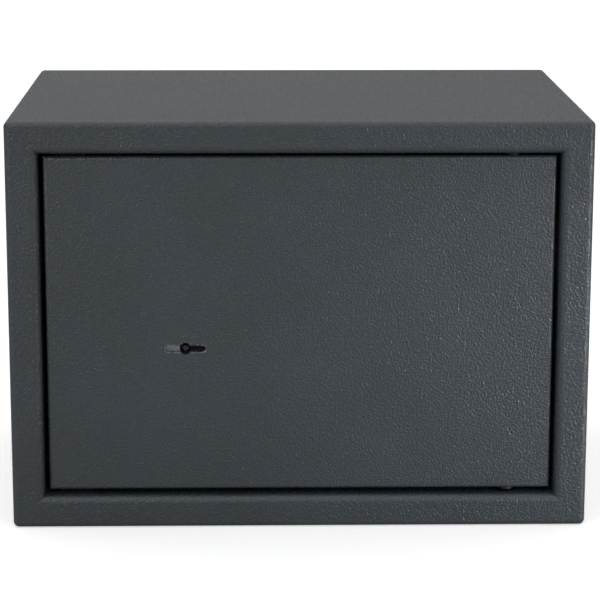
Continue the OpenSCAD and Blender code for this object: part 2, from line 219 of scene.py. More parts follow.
# Points of an arc between two angles in degrees
def bend(middle, radius, start, end, steps):
    turns = [math.radians(start + (end - start) * i / steps) for i in range(steps + 1)]
    return [(middle[0] + radius * math.cos(a), middle[1] + radius * math.sin(a)) for a in turns]


# Skins the space between rings of points; each ring has the same number of points
def loft(name, rings, closedAlong, closedAround, caps=False):
    count = len(rings[0])
    verts = [p for ring in rings for p in ring]
    faces = []
    for k in range(len(rings) if closedAlong else len(rings) - 1):
        n = (k + 1) % len(rings)
        for i in range(count if closedAround else count - 1):
            j = (i + 1) % count
            faces.append((k * count + i, k * count + j, n * count + j, n * count + i))
    if caps:
        faces.append(tuple(k * count for k in range(len(rings))))
        faces.append(tuple(k * count + count - 1 for k in reversed(range(len(rings)))))
    piece = meshPiece(name, verts, faces)
    tidyMesh(piece)
    return piece


# A flat plate in X and Z between two depths, or lying in X and Y between two heights, with its edges
# rounded; the first outline is the outside and runs anticlockwise, and its holes run clockwise
def plate(name, outlines, y0, y1, edge, steps=3, lying=False):
    curve = bpy.data.curves.new(name, "CURVE")
    curve.dimensions = "2D"
    curve.fill_mode = "BOTH"
    curve.extrude = (y1 - y0) / 2 - edge
    curve.bevel_depth = edge
    curve.bevel_resolution = steps
    curve.offset = -edge
    for outline in outlines:
        spline = curve.splines.new("POLY")
        spline.points.add(len(outline) - 1)
        for point, (x, z) in zip(spline.points, outline):
            point.co = (x, z, 0, 1)
        spline.use_cyclic_u = True
    piece = bpy.data.objects.new(name, curve)
    bpy.context.scene.collection.objects.link(piece)
    piece = bake(piece)
    if lying:
        piece.data.transform(Matrix.Translation((0, 0, (y0 + y1) / 2)))
    else:
        piece.data.transform(Matrix.Translation((0, (y0 + y1) / 2, 0)) @ Matrix.Rotation(math.pi / 2, 4, "X"))
    tidyMesh(piece, merge=2e-6, flatten=True)
    return piece


def roundHole(cx, cz, r, steps=64):
    turns = [-math.tau * i / steps for i in range(steps)]
    return [(cx + r * math.cos(a), cz + r * math.sin(a)) for a in turns]


def fillHoles(piece):
    bm = bmesh.new()
    bm.from_mesh(piece.data)
    bmesh.ops.holes_fill(bm, edges=bm.edges, sides=0)
    finishMesh(bm, piece)


# A geometry nodes group with named inputs, given as name: (socket type, value)
def newGroup(name, inputs):
    tree = bpy.data.node_groups.new(name, "GeometryNodeTree")
    tree.interface.new_socket("Geometry", in_out="INPUT", socket_type="NodeSocketGeometry")
    for label, (kind, value) in inputs.items():
        made = tree.interface.new_socket(label, in_out="INPUT", socket_type=kind)
        if value is not None:
            made.default_value = value
    tree.interface.new_socket("Geometry", in_out="OUTPUT", socket_type="NodeSocketGeometry")
    return tree, addNode(tree, "NodeGroupInput").outputs


def endGroup(tree, geometry, material):
    solid = addNode(tree, "GeometryNodeRealizeInstances", {}, {"Geometry": geometry}).outputs[0]
    painted = addNode(tree, "GeometryNodeSetMaterial", {}, {"Geometry": solid, "Material": material}).outputs[0]
    addNode(tree, "NodeGroupOutput", {}, {"Geometry": painted})


# Runs a group on a piece with its inputs set, and keeps the result as plain mesh
def runGroup(piece, tree, values):
    modifier = piece.modifiers.new(tree.name, "NODES")
    modifier.node_group = tree
    for item in tree.interface.items_tree:
        if item.in_out == "INPUT" and item.name in values:
            modifier[item.identifier] = values[item.name]
    return bake(piece)


finishes = {}


# Puts a finish on a piece, and the piece on its body in the place of its CAD nodes
def settle(piece, body, finish, slotName, *nodes):
    piece.data.materials.clear()
    piece.data.materials.append(finishes[finish])
    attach(piece, body)
    if nodes:
        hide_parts(*nodes)


def newFinish(name, colour, metallic, roughness, **more):
    material = bpy.data.materials.new(name)
    material.use_nodes = True
    tree = material.node_tree
    shader = tree.nodes["Principled BSDF"]
    shader.inputs["Base Color"].default_value = linear(colour)
    shader.inputs["Metallic"].default_value = metallic
    shader.inputs["Roughness"].default_value = roughness
    for key, value in more.items():
        shader.inputs[key].default_value = value
    finishes[name] = material
    return tree, shader, addNode(tree, "ShaderNodeTexCoord").outputs["Object"]


# A noise field over the piece; size is the width of one feature in metres
def field(tree, place, size, detail=2.0, stretch=None):
    if stretch:
        place = addNode(tree, "ShaderNodeMapping", {"Scale": stretch}, {"Vector": place}).outputs[0]
    noiseNode = addNode(tree, "ShaderNodeTexNoise", {"Scale": 1 / size, "Detail": detail}, {"Vector": place})
    return noiseNode.outputs["Fac"]


def remap(tree, value, low, high, start=0.3, stop=0.7):
    spans = {"From Min": start, "From Max": stop, "To Min": low, "To Max": high}
    return addNode(tree, "ShaderNodeMapRange", spans, {"Value": value}).outputs["Result"]


# A colour between two, by a value
def between(tree, value, first, second, start=0.3, stop=0.7):
    ramp = addNode(tree, "ShaderNodeValToRGB", {}, {"Fac": value})
    for stopPoint, position, colour in zip(ramp.color_ramp.elements, (start, stop), (first, second)):
        stopPoint.position, stopPoint.color = position, linear(colour)
    return ramp.outputs["Color"]


# Values added up, each with its weight
def sums(tree, *parts):
    total = None
    for value, weight in parts:
        scaled = addNode(tree, "ShaderNodeMath", {"operation": "MULTIPLY", 1: weight}, {0: value}).outputs[0]
        total = scaled if total is None else addNode(tree, "ShaderNodeMath", {}, {0: total, 1: scaled}).outputs[0]
    return total


def bumped(tree, shader, height, depth):
    normal = addNode(tree, "ShaderNodeBump", {"Strength": 1.0, "Distance": depth}, {"Height": height})
    tree.links.new(normal.outputs["Normal"], shader.inputs["Normal"])


# Polyester powder coat, sprayed and baked: grains flow into a fine leathery skin that glitters a little
powderCoat = {"dark": "#2f363a", "light": "#363d42", "bare": "#a9abac", "roughness": (0.2, 0.3), "skin": 1.35 * mm,
              "grain": 0.6 * mm, "drift": 60 * mm, "depth": 0.8 * mm, "gloss": 0.6, "chip": 1.6 * mm}


# How far bare metal shows round a keyhole, 1 at its edge and 0 further out, in ragged flakes
def chipMask(tree, place, chips):
    offset = addNode(tree, "ShaderNodeVectorMath", {"operation": "SUBTRACT", 1: chips["middle"]}, {0: place})
    parts = addNode(tree, "ShaderNodeSeparateXYZ", {}, {0: offset.outputs[0]})
    side = addNode(tree, "ShaderNodeMath", {"operation": "ABSOLUTE"}, {0: parts.outputs["X"]}).outputs[0]
    side = addNode(tree, "ShaderNodeMath", {"operation": "SUBTRACT", 1: chips["straight"]}, {0: side}).outputs[0]
    side = addNode(tree, "ShaderNodeMath", {"operation": "MAXIMUM", 1: 0.0}, {0: side}).outputs[0]
    across = addNode(tree, "ShaderNodeCombineXYZ", {}, {"X": side, "Z": parts.outputs["Z"]}).outputs[0]
    reach = addNode(tree, "ShaderNodeVectorMath", {"operation": "LENGTH"}, {0: across}).outputs["Value"]
    near = remap(tree, reach, 1.0, 0.0, *chips["reach"])
    ragged = remap(tree, field(tree, place, powderCoat["chip"], 3.0), 0.0, 1.0, 0.5, 0.56)
    mask = addNode(tree, "ShaderNodeMath", {"operation": "MULTIPLY", "use_clamp": True}, {0: near, 1: ragged})
    return mask.outputs[0]


def makePowderCoat(name, chips=None):
    tree, shader, place = newFinish(name, powderCoat["dark"], 0.0, 0.4)
    shader.inputs["Specular IOR Level"].default_value = powderCoat["gloss"]
    skin = field(tree, place, powderCoat["skin"], 1.5)
    grain = field(tree, place, powderCoat["grain"], 1.0)
    drift = field(tree, place, powderCoat["drift"], 2.0)     # uneven film over a hand's width
    # Colour drifts with the uneven film, and is darker in the skin's hollows: painted shade
    colour = between(tree, sums(tree, (drift, 0.6), (skin, 0.4)), powderCoat["dark"], powderCoat["light"])
    rough = remap(tree, grain, *powderCoat["roughness"])
    height = sums(tree, (skin, 0.75), (grain, 0.25))
    if chips:                                    # bare steel where keys have knocked the rim
        bare = chipMask(tree, place, chips)
        steel = {"data_type": "RGBA", 7: linear(powderCoat["bare"])}
        colour = addNode(tree, "ShaderNodeMix", steel, {0: bare, 6: colour}).outputs[2]
        tree.links.new(bare, shader.inputs["Metallic"])
    tree.links.new(colour, shader.inputs["Base Color"])
    tree.links.new(rough, shader.inputs["Roughness"])
    bumped(tree, shader, height, powderCoat["depth"])


# Satin enamel on pressed sheet: smoother and darker than the outside, with faint drawing marks below it. The door
# stops, painted with the body, wear it too as painted shade, so that they sink into the dark gap round the door
satinEnamel = {"dark": "#25282a", "light": "#2b2e30"}
tree, shader, place = newFinish("satinEnamel", satinEnamel["dark"], 0.0, 0.42)
cloud = field(tree, place, 45 * mm, 3.0)
tree.links.new(between(tree, cloud, satinEnamel["dark"], satinEnamel["light"]), shader.inputs["Base Color"])
tree.links.new(remap(tree, field(tree, place, 6 * mm, 3.0), 0.36, 0.5), shader.inputs["Roughness"])
bumped(tree, shader, field(tree, place, 1.2 * mm, 2.0), 0.03 * mm)

# Bright zinc plate with a clear passivate: pale metal with faint straw and blue clouds
tree, shader, place = newFinish("zincPlate", "#b9bcbc", 1.0, 0.34)
cloud = field(tree, place, 9 * mm, 3.0)
tree.links.new(between(tree, cloud, "#aeb4ba", "#c4c1b2"), shader.inputs["Base Color"])
tree.links.new(remap(tree, field(tree, place, 2.5 * mm, 4.0), 0.26, 0.44), shader.inputs["Roughness"])
bumped(tree, shader, field(tree, place, 0.6 * mm, 3.0), 0.02 * mm)

# Cold-rolled steel left oily: grey, with straight mill lines and darker stains
tree, shader, place = newFinish("rolledSteel", "#8f9296", 1.0, 0.36)
lines = field(tree, place, 1.0 * mm, 3.0, (0.06, 1.0, 1.0))
cloud = field(tree, place, 14 * mm, 3.0)
tree.links.new(between(tree, cloud, "#808488", "#9a9c9e"), shader.inputs["Base Color"])
tree.links.new(remap(tree, lines, 0.28, 0.46), shader.inputs["Roughness"])
bumped(tree, shader, lines, 0.02 * mm)

# Sintered bronze, nearly black: a colour that paints the shade of the gaps where the bush flanges show, matt, with fine
# open pores
tree, shader, place = newFinish("oiledBronze", "#24211d", 1.0, 0.6)
pores = field(tree, place, 0.5 * mm, 3.0)
tree.links.new(between(tree, pores, "#191714", "#2c2925"), shader.inputs["Base Color"])
tree.links.new(remap(tree, pores, 0.7, 0.5), shader.inputs["Roughness"])
bumped(tree, shader, pores, 0.05 * mm)

# Die-cast zinc alloy, never polished: its grey painted dark for the shade inside the keyhole, with a coarse light and
# dark speckle
tree, shader, place = newFinish("castZinc", "#5c6062", 1.0, 0.55)
speckle = field(tree, place, 0.42 * mm, 4.0)
tree.links.new(between(tree, speckle, "#46494b", "#c0c4c6", 0.4, 0.6), shader.inputs["Base Color"])
tree.links.new(remap(tree, speckle, 0.65, 0.45), shader.inputs["Roughness"])
bumped(tree, shader, speckle, 0.08 * mm)

# Turned pin: dark grey with streaks along it
tree, shader, place = newFinish("oldSteel", "#3c3e40", 1.0, 0.55)
streaks = field(tree, place, 0.9 * mm, 3.0, (1.0, 0.2, 1.0))
tree.links.new(between(tree, streaks, "#2c2e30", "#505254"), shader.inputs["Base Color"])
tree.links.new(remap(tree, streaks, 0.4, 0.6), shader.inputs["Roughness"])

# Turned bar, nickel plated: bright, with rings left by the lathe that show as fine bands
tree, shader, place = newFinish("nickelPlate", "#cfd0cd", 1.0, 0.2, Anisotropic=0.4)
rings = field(tree, place, 0.8 * mm, 2.0, (1.0, 0.03, 0.03))
scuffs = field(tree, place, 3.0 * mm, 5.0, (0.15, 1.0, 1.0))     # rubbed along its travel
tree.links.new(between(tree, scuffs, "#c3c4c1", "#d6d7d4"), shader.inputs["Base Color"])
tree.links.new(remap(tree, sums(tree, (rings, 0.5), (scuffs, 0.5)), 0.14, 0.32), shader.inputs["Roughness"])
bumped(tree, shader, rings, 0.012 * mm)

# Stamped brass sheet: warm, dulled by handling, with faint grain along the strip
tree, shader, place = newFinish("stampedBrass", "#b59b5c", 1.0, 0.33)
cloud = field(tree, place, 5 * mm, 3.0)
tree.links.new(between(tree, cloud, "#9f8448", "#c2a868"), shader.inputs["Base Color"])
grain = field(tree, place, 0.9 * mm, 2.0, (0.08, 1.0, 1.0))
tree.links.new(remap(tree, grain, 0.26, 0.42), shader.inputs["Roughness"])

# Moulded acetal, coloured through: near black with a soft highlight
tree, shader, place = newFinish("mouldedAcetal", "#262627", 0.0, 0.45)
cloud = field(tree, place, 4 * mm)
tree.links.new(between(tree, cloud, "#202021", "#2d2d2e"), shader.inputs["Base Color"])

# Needle-punched polyester felt: dark matted fibres, with a soft bloom at grazing angles
tree, shader, place = newFinish("needleFelt", "#26282a", 0.0, 0.95)
shader.inputs["Sheen Weight"].default_value = 0.5
shader.inputs["Sheen Roughness"].default_value = 0.5
fibres = field(tree, place, 0.8 * mm, 4.0, (1.0, 0.35, 1.0))     # real fibres are finer than this; drawn coarse to show
tufts = field(tree, place, 3.5 * mm, 3.0)
matted = sums(tree, (fibres, 0.6), (tufts, 0.4))
tree.links.new(between(tree, matted, "#1b1d1f", "#3a3c3e"), shader.inputs["Base Color"])
bumped(tree, shader, sums(tree, (fibres, 0.5), (tufts, 0.5)), 0.5 * mm)
print("finishes made:", ", ".join(finishes))

bodyShape = {"width": cadBounds[1][0] - cadBounds[0][0], "height": cadBounds[1][2] - cadBounds[0][2],
             "sheet": 2 * mm, "fold": 3.5 * mm, "foldSteps": 12, "rim": 0.85 * mm, "rimSteps": 4}
makePowderCoat("powderCoat")
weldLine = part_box("body_shell")[0][1]
frontFace, backFace = cadBounds[0][1], cadBounds[1][1]
midHeight = bodyShape["height"] / 2
halfWidth, halfHeight = bodyShape["width"] / 2, bodyShape["height"] / 2


def bodyRing(inward, y, radius, steps=bodyShape["foldSteps"]):
    corners = roundedCorners(halfWidth - inward, halfHeight - inward, max(radius, 0), steps)
    return [(x, y, z + midHeight) for corner in corners for x, z in corner]


fold, sheet, rim, rimSteps = (bodyShape[key] for key in ("fold", "sheet", "rim", "rimSteps"))
# The sheared edge at the back is dressed round, which leaves a seam against the back panel
shellSection = [(0, weldLine)] + bend((rim, backFace - rim), rim, 180, 90, rimSteps)
shellSection += bend((sheet - rim, backFace - rim), rim, 90, 0, rimSteps) + [(sheet, weldLine)]
shell = loft("bodyShell", [bodyRing(inward, y, fold - inward) for inward, y in shellSection], True, True)
anchorDims = frame["record"]["mounts"][0]["dims"]
anchors = {"spacing": anchorDims["spacing_x_mm"] * mm, "radius": anchorDims["hole_r_mm"] * mm}
anchorPlaces = [s * anchors["spacing"] / 2 for s in (-1, 1)]
cut(shell, [drill("Z", (x, 0, 0), -5 * mm, 9 * mm, anchors["radius"]) for x in anchorPlaces])
settle(smooth(shell), "cabinet", "powderCoat", "paint", "body_shell")

# Front frame: four rails, mitred, welded and dressed flush before painting
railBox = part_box("frame_rail_left")
railShape = {"lipFold": 4.5 * mm, "face": railBox[1][0] - railBox[0][0], "lip": railBox[1][1] - railBox[0][1],
             "bendSteps": 12}
face, lip, steps = railShape["face"], railShape["lip"], railShape["bendSteps"]
reach = weldLine - frontFace
inner = railShape["lipFold"]
outside = bend((fold, fold), fold, 180, 270, steps) + bend((face - inner, inner), inner, -90, 0, steps)
inside = bend((face - inner, inner), inner - sheet, 0, -90, steps) + bend((fold, fold), fold - sheet, 270, 180, steps)
section = [(0, reach)] + outside + [(face, lip), (face - sheet, lip)] + inside + [(sheet, reach)]
railRings = []
for inward, depth in section:
    corners = roundedCorners(halfWidth - inward, halfHeight - inward, max(fold - inward, 0), 2 * steps)
    railRings.append([[(x, frontFace + depth, z + midHeight) for x, z in corner] for corner in corners])
# Each rail runs from the middle of one corner to the middle of the next
for k, side in enumerate(("right", "top", "left", "bottom")):
    halves = [ring[k][steps:] + ring[(k + 1) % 4][:steps + 1] for ring in railRings]
    rail = loft("frameRail" + side.title(), halves, True, False, caps=True)
    settle(smooth(rail), "cabinet", "powderCoat", "paint", "frame_rail_" + side)

backShape = {"edge": 0.95 * mm, "cornerSteps": 8}     # its dressed edge is the other side of the seam
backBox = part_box("back_panel")
corners = roundedCorners(halfWidth - sheet, halfHeight - sheet, fold - sheet, backShape["cornerSteps"])
backOutlines = [[(x, z + midHeight) for corner in corners for x, z in corner]]
backOutlines += [roundHole(x, midHeight, anchors["radius"]) for x in anchorPlaces]
back = plate("backPanel", backOutlines, backBox[0][1], backBox[1][1], backShape["edge"])
settle(smooth(back), "cabinet", "powderCoat", "paint", "back_panel")
# The door stops take the darker enamel as painted shade, so that they don't show in the gap round the door
settle(fromNode("doorStops", "door_stops"), "cabinet", "satinEnamel", "paint", "door_stops")

hinge = {"axis": next(j for j in frame["joints"] if j["name"] == "door_hinge")["pos_m"], "pinRadius": 3 * mm,
         "pinNose": 0.5 * mm, "headRadius": 4.8 * mm, "headHeight": 2.5 * mm, "boreRadius": 3.05 * mm,
         "tailRadius": 4.5 * mm, "flangeHeight": 1 * mm, "edge": 0.4 * mm}


# The way up from a hinge piece's foot to its top, which faces the door's middle, and the two heights
def hingeEnds(box, level):
    return (1, box[0][2], box[1][2]) if level == "lower" else (-1, box[1][2], box[0][2])


for level in ("upper", "lower"):
    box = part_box("hinge_bush_" + level)
    bore, tail, flange = hinge["boreRadius"], hinge["tailRadius"], (box[1][0] - box[0][0]) / 2
    up, foot, top = hingeEnds(box, level)
    e, seat = hinge["edge"] * up, top - hinge["flangeHeight"] * up
    profile = [(foot, bore), (foot, tail - 0.3 * mm), (foot + e, tail), (seat, tail), (seat, flange - 0.2 * mm),
               (top - e, flange), (top - 0.1 * mm * up, flange - 0.3 * mm), (top, flange - 0.5 * mm),
               (top, bore), (foot, bore)]
    bush = turned("hingeBush" + level.title(), "Z", hinge["axis"], profile)
    # The bush flanges show in the gaps above and below the door, so their near-black finish is painted shade
    settle(bush, "cabinet", "oiledBronze", "brass", "hinge_bush_" + level)
print("body made")

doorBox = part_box("door_plate")
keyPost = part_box("key_post")
keyMiddle = ((keyPost[0][0] + keyPost[1][0]) / 2, (keyPost[0][2] + keyPost[1][2]) / 2)
keyhole = {"length": 24.4 * mm, "height": 4 * mm, "round": 7.2 * mm, "rim": 0.35 * mm,
           "chips": (0.25 * mm, 0.7 * mm)}     # whole and no bare metal, out from the slot's edge


# Slot with round ends and a round middle, drawn clockwise so that it is a hole
def keyholeOutline(steps=20):
    half, rise, r = keyhole["length"] / 2 - keyhole["height"] / 2, keyhole["height"] / 2, keyhole["round"] / 2
    join = math.asin(rise / r)
    upper = []
    quarter = math.pi / 2
    for middle, radius, start, sweep in ((-half, rise, math.pi, quarter), (0, r, math.pi - join, math.pi - 2 * join),
                                         (half, rise, quarter, quarter)):
        turns = [start - sweep * i / steps for i in range(steps + 1)]
        upper += [(middle + radius * math.cos(a), radius * math.sin(a)) for a in turns]
    outline = upper + [(x, -z) for x, z in reversed(upper[1:-1])]
    return [(x + keyMiddle[0], z + keyMiddle[1]) for x, z in outline]


makePowderCoat("powderCoatKeyhole", {
    "middle": (keyMiddle[0], 0, keyMiddle[1]), "straight": keyhole["length"] / 2 - keyhole["height"] / 2,
    "reach": [keyhole["height"] / 2 + out for out in keyhole["chips"]]})
doorShape = {"edge": 2.5 * mm, "back": 0.3 * mm, "steps": 8}


def doorRing(inward, depth):
    half = ((doorBox[1][0] - doorBox[0][0]) / 2 - inward, (doorBox[1][2] - doorBox[0][2]) / 2 - inward)
    middle = ((doorBox[1][0] + doorBox[0][0]) / 2, (doorBox[1][2] + doorBox[0][2]) / 2)
    return [(middle[0] + sx * half[0], doorBox[0][1] + depth, middle[1] + sz * half[1])
            for sx, sz in ((1, -1), (1, 1), (-1, 1), (-1, -1))]


edge, thick, backEdge = doorShape["edge"], doorBox[1][1] - doorBox[0][1], doorShape["back"]
doorSection = bend((edge, edge), edge, 270, 180, doorShape["steps"]) + [(0, thick - backEdge), (backEdge, thick)]
door = loft("doorPlate", [doorRing(*p) for p in doorSection], False, True)
fillHoles(door)
# The punch leaves a narrow rolled rim on both faces
past, punchEdge = 3 * mm, 0.01 * mm
punchOutline = list(reversed(keyholeOutline()))
cut(door, [plate("punch", [punchOutline], doorBox[0][1] - past, doorBox[1][1] + past, punchEdge)])
rolled = door.modifiers.new("rim", "BEVEL")
rolled.width, rolled.segments, rolled.limit_method, rolled.angle_limit = keyhole["rim"], 3, "ANGLE", math.radians(60)
bake(door)
settle(smooth(door), "door", "powderCoatKeyhole", "paint", "door_plate")

for level in ("upper", "lower"):
    bracket = fromNode("hingeBracket" + level.title(), "hinge_bracket_" + level, hinge["edge"])
    settle(bracket, "door", "rolledSteel", "steel", "hinge_bracket_" + level)
    up, foot, top = hingeEnds(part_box("hinge_pin_" + level), level)
    nose, head, r = hinge["pinNose"], hinge["headRadius"], hinge["pinRadius"]
    seat = top - up * hinge["headHeight"]
    profile = [(foot, r - nose), (foot + up * nose, r), (seat, r), (seat, head - 0.3 * mm),
               (top - up * 2.2 * mm, head), (top - up * 0.8 * mm, head), (top - up * 0.3 * mm, head - 0.4 * mm),
               (top, head - 1.2 * mm)]
    pin = turned("hingePin" + level.title(), "Z", hinge["axis"], profile)
    settle(pin, "door", "zincPlate", "zinc", "hinge_pin_" + level)
settle(fromNode("hingeWashers", "hinge_washers", 0), "door", "mouldedAcetal", "nylon", "hinge_washers")

# Pressed cover over the boltwork: a pan with a shallow panel pressed in to stiffen it
coverShape = {"sheet": 1.2 * mm, "bend": 3 * mm, "bendSteps": 8, "panelInset": 22 * mm, "panelDepth": 1.4 * mm,
              "panelSlope": 2.2 * mm, "panelSteps": 6, "panelCorner": 10 * mm,
              "boltHole": 9 * mm, "screwHole": 2.25 * mm}
coverBox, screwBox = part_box("door_cover"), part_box("cover_screws")
coverMiddle = ((coverBox[0][0] + coverBox[1][0]) / 2, (coverBox[0][2] + coverBox[1][2]) / 2)
coverHalf = ((coverBox[1][0] - coverBox[0][0]) / 2, (coverBox[1][2] - coverBox[0][2]) / 2)


def coverRing(inward, y, radius):
    corners = roundedCorners(coverHalf[0] - inward, coverHalf[1] - inward, radius, 6)
    return [(x + coverMiddle[0], y, z + coverMiddle[1]) for corner in corners for x, z in corner]


r, top = coverShape["bend"], coverBox[1][1]
coverSection = [(0, coverBox[0][1], r)]
for a in [math.pi / 2 * i / coverShape["bendSteps"] for i in range(coverShape["bendSteps"] + 1)]:
    coverSection.append((r - r * math.cos(a), top - r + r * math.sin(a), max(r * math.cos(a), 0.01 * mm)))
for a in [i / coverShape["panelSteps"] for i in range(coverShape["panelSteps"] + 1)]:
    sunk = coverShape["panelDepth"] * (0.5 - 0.5 * math.cos(math.pi * a))
    coverSection.append((coverShape["panelInset"] + a * coverShape["panelSlope"], top - sunk,
                         coverShape["panelCorner"] - a * 2 * mm))
cover = loft("doorCover", [coverRing(*p) for p in coverSection], False, True)
bm = bmesh.new()
bm.from_mesh(cover.data)
bm.verts.ensure_lookup_table()
last = [v for v in bm.verts if abs(v.co.y - (top - coverShape["panelDepth"])) < 1e-6 and v.is_boundary]
bmesh.ops.contextual_create(bm, geom=[e for e in bm.edges if e.is_boundary and all(v in last for v in e.verts)])
bmesh.ops.recalc_face_normals(bm, faces=bm.faces)
if sum(f.normal.y * f.calc_area() for f in bm.faces) < 0:
    bmesh.ops.reverse_faces(bm, faces=bm.faces)
bm.to_mesh(cover.data)
bm.free()
wall = cover.modifiers.new("sheet", "SOLIDIFY")
wall.thickness, wall.offset, wall.use_even_offset = coverShape["sheet"], -1, True
bake(cover)
boltBoxes = [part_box("locking_bolt_" + level) for level in ("upper", "lower")]
side = coverBox[0][0]
drills = [drill("X", (0, (b[0][1] + b[1][1]) / 2, (b[0][2] + b[1][2]) / 2), side - 5 * mm, side + 4 * mm,
                coverShape["boltHole"]) for b in boltBoxes]
headWidth = 8 * mm
screwSpan = (screwBox[1][0] - screwBox[0][0] - headWidth, screwBox[1][2] - screwBox[0][2] - headWidth)
screwMiddle = ((screwBox[1][0] + screwBox[0][0]) / 2, (screwBox[1][2] + screwBox[0][2]) / 2)
drills += [drill("Y", (screwMiddle[0] + sx * screwSpan[0] / 2, 0, screwMiddle[1] + sz * screwSpan[1] / 2),
                 top - 5 * mm, top + 5 * mm, coverShape["screwHole"]) for sx in (-1, 1) for sz in (-1, 1)]
cut(cover, drills)
settle(smooth(cover), "door", "satinEnamel", "paint_inner", "door_cover")


# A pan-headed screw with a cross recess; its seat is at the origin and its head points along +Y
def crossScrew(name, headRadius, headHeight, shankRadius, length):
    turns = [math.pi / 2 * i / 6 for i in range(7)]
    dome = [(headHeight * (0.45 + 0.55 * math.sin(a)), headRadius * (0.55 + 0.45 * math.cos(a))) for a in turns]
    shank = [(-length, shankRadius * 0.7), (-length + shankRadius * 0.5, shankRadius), (0, shankRadius)]
    rim = [(0, headRadius * 0.97), (headHeight * 0.12, headRadius)]
    body = turned(name, "Y", (0, 0, 0), shank + rim + dome, 40)
    wide, narrow, slot, deep = headRadius * 0.56, headRadius * 0.18, headRadius * 0.15, headHeight * 0.8
    cutters = []
    for turn in (0, math.pi / 2):
        rings = []
        for y, reach, half in ((headHeight - deep, narrow, slot * 0.6), (headHeight + 1 * mm, wide * 1.15, slot)):
            corners = ((-reach, -half), (reach, -half), (reach, half), (-reach, half))
            rings.append([Matrix.Rotation(turn, 3, "Y") @ Vector((x, y, z)) for x, z in corners])
        bar = loft("recess", rings, False, True)
        fillHoles(bar)
        cutters.append(bar)
    return smooth(cut(body, cutters))


# Screws at the corners of a rectangle in X and Z, each turned as it was driven
screwPattern, given = newGroup("screwPattern", {
    "Screw": ("NodeSocketObject", None), "Spacing X": ("NodeSocketFloat", 0.1), "Spacing Z": ("NodeSocketFloat", 0.1),
    "Middle": ("NodeSocketVector", (0, 0, 0)), "Seed": ("NodeSocketInt", 4), "Material": ("NodeSocketMaterial", None)})
tree = screwPattern
grid = addNode(tree, "GeometryNodeMeshGrid", {"Vertices X": 2, "Vertices Y": 2},
               {"Size X": given["Spacing X"], "Size Y": given["Spacing Z"]}).outputs["Mesh"]
stood = addNode(tree, "GeometryNodeTransform", {"Rotation": (math.pi / 2, 0, 0)},
                {"Geometry": grid, "Translation": given["Middle"]}).outputs[0]
quarter = {"data_type": "FLOAT", "Min": 0.0, "Max": math.pi / 2}
turn = addNode(tree, "FunctionNodeRandomValue", quarter, {"Seed": given["Seed"]})
spin = addNode(tree, "ShaderNodeCombineXYZ", {}, {"Y": socketOf(turn.outputs, "Value")}).outputs[0]
screw = addNode(tree, "GeometryNodeObjectInfo", {"transform_space": "ORIGINAL"}, {"Object": given["Screw"]})
placed = addNode(tree, "GeometryNodeInstanceOnPoints", {},
                 {"Points": stood, "Instance": screw.outputs["Geometry"], "Rotation": spin}).outputs[0]
endGroup(tree, placed, given["Material"])

coverScrew = crossScrew("coverScrew", 4 * mm, 2.6 * mm, 2 * mm, 10 * mm)
caseScrew = crossScrew("caseScrew", 2.8 * mm, 1.8 * mm, 1.5 * mm, 8 * mm)
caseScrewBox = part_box("lock_cover_screws")
caseSeat = caseScrewBox[1][1] - 1.8 * mm
for name, node, screw, seat, head, box, finish, slotName in (
        ("coverScrews", "cover_screws", coverScrew, top, headWidth, screwBox, "zincPlate", "zinc"),
        ("lockCoverScrews", "lock_cover_screws", caseScrew, caseSeat, 5.6 * mm, caseScrewBox, "rolledSteel", "steel")):
    middle = ((box[0][0] + box[1][0]) / 2, seat, (box[0][2] + box[1][2]) / 2)
    group = meshPiece(name, [(0, 0, 0)], [])
    runGroup(group, screwPattern, {
        "Screw": screw, "Spacing X": box[1][0] - box[0][0] - head, "Spacing Z": box[1][2] - box[0][2] - head,
        "Middle": middle, "Seed": 4, "Material": finishes[finish]})
    settle(group, "door", finish, slotName, node)
for screw in (coverScrew, caseScrew):
    bpy.data.objects.remove(screw)

# The lock case behind the keyhole takes the cast zinc darkened as painted shade
for name, node, edge, finish, slotName in (
        ("boltGuide", "bolt_guide", 0.4, "zincPlate", "zinc"), ("lockCase", "lock_case", 0.3, "castZinc", "zinc"),
        ("lockCover", "lock_cover", 0.3, "zincPlate", "zinc"), ("lockNuts", "lock_nuts", 0.3, "zincPlate", "zinc"),
        ("coverPosts", "cover_posts", 0, "zincPlate", "zinc")):
    settle(fromNode(name, node, edge * mm), "door", finish, slotName, node)

r, nose, tip = (keyPost[1][0] - keyPost[0][0]) / 2, 0.5 * mm, keyPost[0][1]
postProfile = [(tip, r - nose), (tip + nose * 0.15, r - nose * 0.6), (tip + nose * 0.5, r - nose * 0.15),
               (tip + nose, r), (keyPost[1][1], r)]
post = turned("keyPost", "Y", (keyMiddle[0], 0, keyMiddle[1]), postProfile, 40)
settle(post, "door", "oldSteel", "steel", "key_post")
print("door made")

boltShape = {"chamfer": 1.0 * mm, "centreDrill": 1.4 * mm}
for level, box in zip(("upper", "lower"), boltBoxes):
    x0, x1, r = box[0][0], box[1][0], (box[1][2] - box[0][2]) / 2
    c, d = boltShape["chamfer"], boltShape["centreDrill"]
    profile = [(x0 + d, 0.02 * mm), (x0, d), (x0, r - c - 0.15 * mm), (x0 + 0.05 * mm, r - c),
               (x0 + c - 0.1 * mm, r - 0.08 * mm), (x0 + c + 0.1 * mm, r), (x1, r)]
    middle = (0, (box[0][1] + box[1][1]) / 2, (box[0][2] + box[1][2]) / 2)
    bolt = turned("lockingBolt" + level.title(), "X", middle, profile, 96)
    settle(bolt, "boltwork", "nickelPlate", "chrome", "locking_bolt_" + level)
for name, node, edge, finish, slotName in (
        ("boltBar", "bolt_bar", 0.4, "zincPlate", "zinc"), ("boltScrews", "bolt_screws", 0.3, "rolledSteel", "steel"),
        ("lockTongue", "lock_tongue", 0.2, "rolledSteel", "steel")):
    settle(fromNode(name, node, edge * mm), "boltwork", finish, slotName, node)
print("boltwork made")

